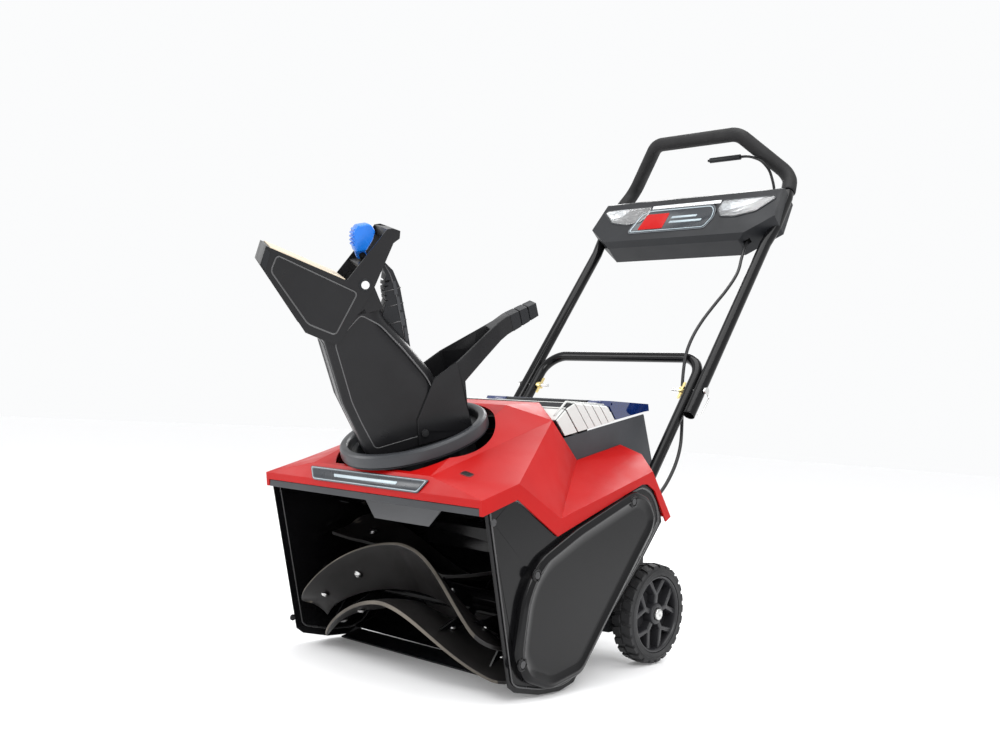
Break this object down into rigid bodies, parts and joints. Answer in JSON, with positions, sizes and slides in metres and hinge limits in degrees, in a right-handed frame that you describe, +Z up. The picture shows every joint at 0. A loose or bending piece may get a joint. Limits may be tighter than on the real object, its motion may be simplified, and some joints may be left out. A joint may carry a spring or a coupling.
{
  "type": "snow blower",
  "caption": "Battery snow blower with rubber-paddled auger, turning chute with tilting deflector, battery hood with hinged lid, small wheels and a folding lit handle.",
  "frame": {"origin": "on the ground under the middle of the machine's overall box", "axes": "+X to the operator's left, -Y forward out of the auger mouth, +Y back to the handle, +Z up"},
  "size_m": [0.563, 1.2926, 1.1807],
  "materials": {
    "black_steel": "gloss",
    "dark_plastic": "satin",
    "grey_plastic": "satin",
    "chute_plastic": "satin",
    "red_plastic": "satin",
    "fin_plastic": "satin",
    "blue_cover": "gloss",
    "blue_trigger": "satin",
    "clear_lens": "gloss",
    "badge": "satin",
    "zinc": "satin",
    "yellow_zinc": "satin",
    "machined_steel": "satin",
    "paddle_rubber": "matte",
    "belt_rubber": "matte",
    "foam": "matte",
    "tyre": "matte",
    "rim_plastic": "satin",
    "cable_skin": "satin",
    "motor_metal": "satin"
  },
  "bodies": {
    "chassis": {"left_side_plate": "black_steel", "right_side_plate": "black_steel", "belt_cover": "black_steel", "housing_bolts": "zinc", "auger_housing": "black_steel", "chute_neck": "dark_plastic", "front_beam": "grey_plastic", "snow_deflector": "grey_plastic", "scraper": "dark_plastic", "auger_bearings": "dark_plastic", "drive_belt": "belt_rubber", "chassis_pan": "dark_plastic", "motor_housing": "motor_metal", "axle_brackets": "black_steel", "gear_case": "dark_plastic", "hood": "red_plastic", "hood_badge": "badge", "battery_bay": "grey_plastic", "battery": "dark_plastic", "louvre_panel": "fin_plastic", "cover_hinge_pin": "zinc", "lower_handle": "black_steel", "fold_bolts": "zinc", "wing_nuts": "yellow_zinc", "cable_lower": "cable_skin"},
    "auger": {"auger_shaft": "machined_steel", "rotor_frame": "black_steel", "rubber_paddles": "paddle_rubber", "paddle_bolts": "zinc", "auger_pulley": "machined_steel"},
    "motor_rotor": {"motor_pulley": "machined_steel"},
    "wheelset": {"drive_axle": "machined_steel", "wheel_rims": "rim_plastic", "tyres": "tyre", "hub_caps": "zinc", "axle_gear": "dark_plastic"},
    "pinion": {"drive_pinion": "machined_steel"},
    "battery_lid": {"battery_cover": "blue_cover"},
    "chute": {"chute_ring": "grey_plastic", "chute_body": "chute_plastic", "chute_lever": "chute_plastic", "lever_grip": "dark_plastic", "chute_bolts": "zinc", "tilt_rack": "dark_plastic", "pivot_rivets": "zinc"},
    "deflector": {"deflector": "chute_plastic"},
    "trigger": {"tilt_trigger": "blue_trigger"},
    "upper_handle": {"upper_handle": "black_steel", "foam_grip": "foam", "panel_shell": "dark_plastic", "headlights": "clear_lens", "light_strip": "clear_lens", "panel_badge": "badge", "bail_bracket": "dark_plastic", "cable_upper": "cable_skin", "tube_clips": "zinc"},
    "bail": {"bail_lever": "black_steel", "bail_grip": "dark_plastic"},
    "start_button": {"start_button": "grey_plastic"},
    "light_switch": {"light_switch": "grey_plastic"}
  },
  "joints": [
    {"name": "auger_spin", "type": "hinge", "parent": "chassis", "child": "auger", "pos_m": [0, -0.254, 0.135], "axis": [1, 0, 0], "continuous": true},
    {"name": "motor_spin", "type": "hinge", "parent": "chassis", "child": "motor_rotor", "pos_m": [0, -0.034, 0.268], "axis": [1, 0, 0], "continuous": true},
    {"name": "wheel_spin", "type": "hinge", "parent": "chassis", "child": "wheelset", "pos_m": [0, 0.116, 0.097], "axis": [1, 0, 0], "continuous": true},
    {"name": "pinion_spin", "type": "hinge", "parent": "chassis", "child": "pinion", "pos_m": [0, 0.116, 0.1254], "axis": [1, 0, 0], "continuous": true},
    {"name": "battery_lid_hinge", "type": "hinge", "parent": "chassis", "child": "battery_lid", "pos_m": [0, 0.046, 0.499], "axis": [1, 0, 0], "range_deg": [0, 80]},
    {"name": "chute_swivel", "type": "hinge", "parent": "chassis", "child": "chute", "pos_m": [0, -0.3286, 0.4267], "axis": [0, -0.3971, 0.9178], "range_deg": [-72, 138]},
    {"name": "deflector_tilt", "type": "hinge", "parent": "chute", "child": "deflector", "pos_m": [-0.0158, -0.4653, 0.68135], "axis": [0.8387, -0.4998, -0.2163], "range_deg": [-8, 40]},
    {"name": "trigger_pull", "type": "hinge", "parent": "deflector", "child": "trigger", "pos_m": [-0.00762, -0.47004, 0.72398], "axis": [0.8387, -0.4998, -0.2163], "range_deg": [-12, 0], "stiffness_Nm_per_rad": 0.3, "springref_deg": 5.73},
    {"name": "handle_fold", "type": "hinge", "parent": "chassis", "child": "upper_handle", "pos_m": [0, 0.25641, 0.53855], "axis": [1, 0, 0], "range_deg": [0, 80]},
    {"name": "bail_squeeze", "type": "hinge", "parent": "upper_handle", "child": "bail", "pos_m": [0.206, 0.59186, 1.01049], "axis": [1, 0, 0], "range_deg": [0, 14], "stiffness_Nm_per_rad": 0.5, "springref_deg": -34.38},
    {"name": "start_button_press", "type": "slide", "parent": "upper_handle", "child": "start_button", "axis": [0, -0.585, -0.8111], "range_m": [0, 0.003], "stiffness_N_per_m": 600, "springref_m": -0.001},
    {"name": "light_switch_press", "type": "slide", "parent": "upper_handle", "child": "light_switch", "axis": [0, -0.585, -0.8111], "range_m": [0, 0.002], "stiffness_N_per_m": 600, "springref_m": -0.001}
  ],
  "couplings": [
    {"joint": "motor_spin", "follows": "auger_spin", "ratio": 2.3846},
    {"joint": "pinion_spin", "follows": "wheel_spin", "ratio": -3.0909}
  ]
}
